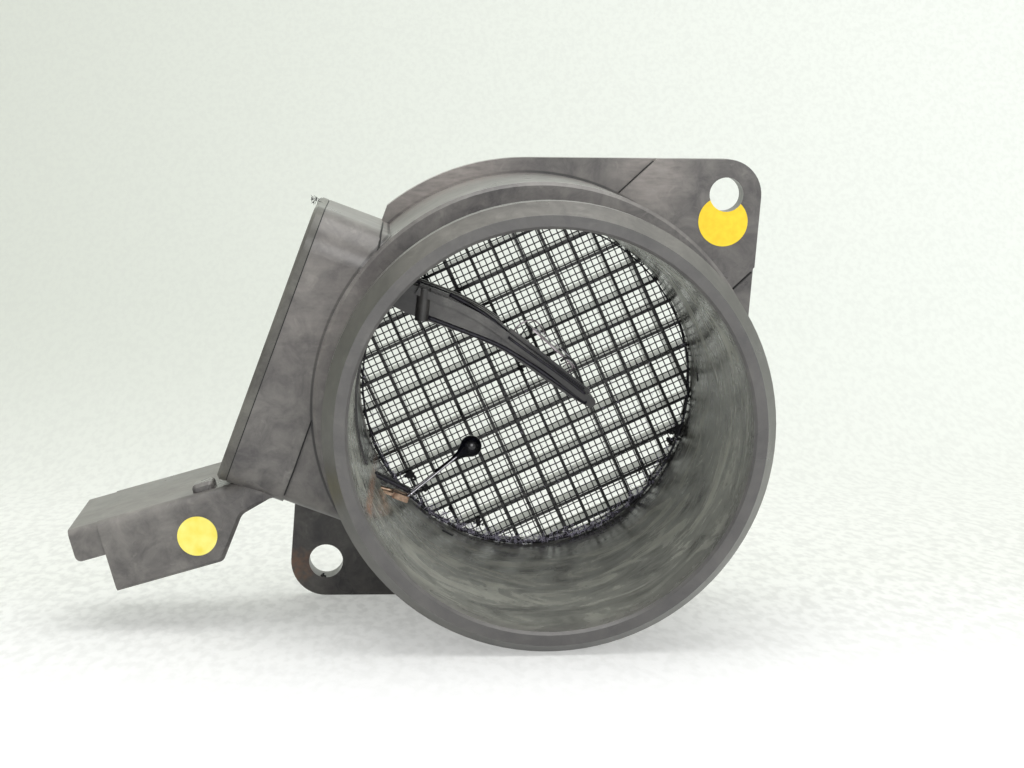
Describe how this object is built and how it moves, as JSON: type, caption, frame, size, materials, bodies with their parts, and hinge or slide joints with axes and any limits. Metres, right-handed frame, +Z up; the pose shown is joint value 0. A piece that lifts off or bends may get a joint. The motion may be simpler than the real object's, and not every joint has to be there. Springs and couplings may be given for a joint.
{
  "type": "mass airflow sensor",
  "caption": "Moulded tube with a screened inlet, a bolting flange, a sensing arm in the bore, and a side box with a plug socket; it measures the air drawn in by an engine.",
  "frame": {"origin": "on the bore axis in the plane of the flange's mating face", "axes": "+Y along the bore axis out of the mating face, towards the filter box; -Y towards the hose end; +Z up as the part sits in the picture, the bolt line rising 42.4 degrees towards +X"},
  "size_m": [0.1371, 0.074, 0.0908],
  "materials": {
    "housing_plastic": "satin glass-filled nylon, dusty and scuffed",
    "cover_plastic": "satin glass-filled nylon",
    "arm_plastic": "moulded nylon, slightly oily",
    "adhesive": "cured silicone adhesive",
    "bead_coating": "glossy epoxy drop",
    "seal_rubber": "moulded nitrile rubber",
    "terminal_metal": "tarnished copper alloy strip",
    "lead_metal": "tinned wire",
    "film_metal": "thin metal film on a carrier",
    "pin_metal": "tinned copper alloy blade",
    "grid_plastic": "moulded nylon, dusty",
    "screen_metal": "dark coated wire",
    "plate_metal": "rolled sheet",
    "board_ceramic": "fired alumina",
    "chip_plastic": "moulded epoxy",
    "capacitor_ceramic": "fired ceramic",
    "sticker_paper": "printed plain yellow paper disc"
  },
  "bodies": {
    "root": {"base_plate": "plate_metal", "bead_lead_1": "lead_metal", "bead_lead_2": "lead_metal", "box_cover": "cover_plastic", "capacitor_1": "capacitor_ceramic", "capacitor_2": "capacitor_ceramic", "circuit_board": "board_ceramic", "connector_pin_1": "pin_metal", "connector_pin_2": "pin_metal", "connector_pin_3": "pin_metal", "connector_pin_4": "pin_metal", "connector_pin_5": "pin_metal", "connector_pin_6": "pin_metal", "control_chip": "chip_plastic", "cover_seal": "adhesive", "film_clip_1": "arm_plastic", "film_clip_2": "arm_plastic", "flange_seal": "seal_rubber", "heater_film": "film_metal", "housing": "housing_plastic", "lead_terminal_1": "terminal_metal", "lead_terminal_2": "terminal_metal", "screen_grid": "grid_plastic", "screen_ring": "grid_plastic", "sensor_arm": "arm_plastic", "sticker_flange": "sticker_paper", "sticker_socket": "sticker_paper", "temperature_bead": "bead_coating", "voltage_regulator": "chip_plastic", "wire_screen": "screen_metal"}
  },
  "joints": []
}
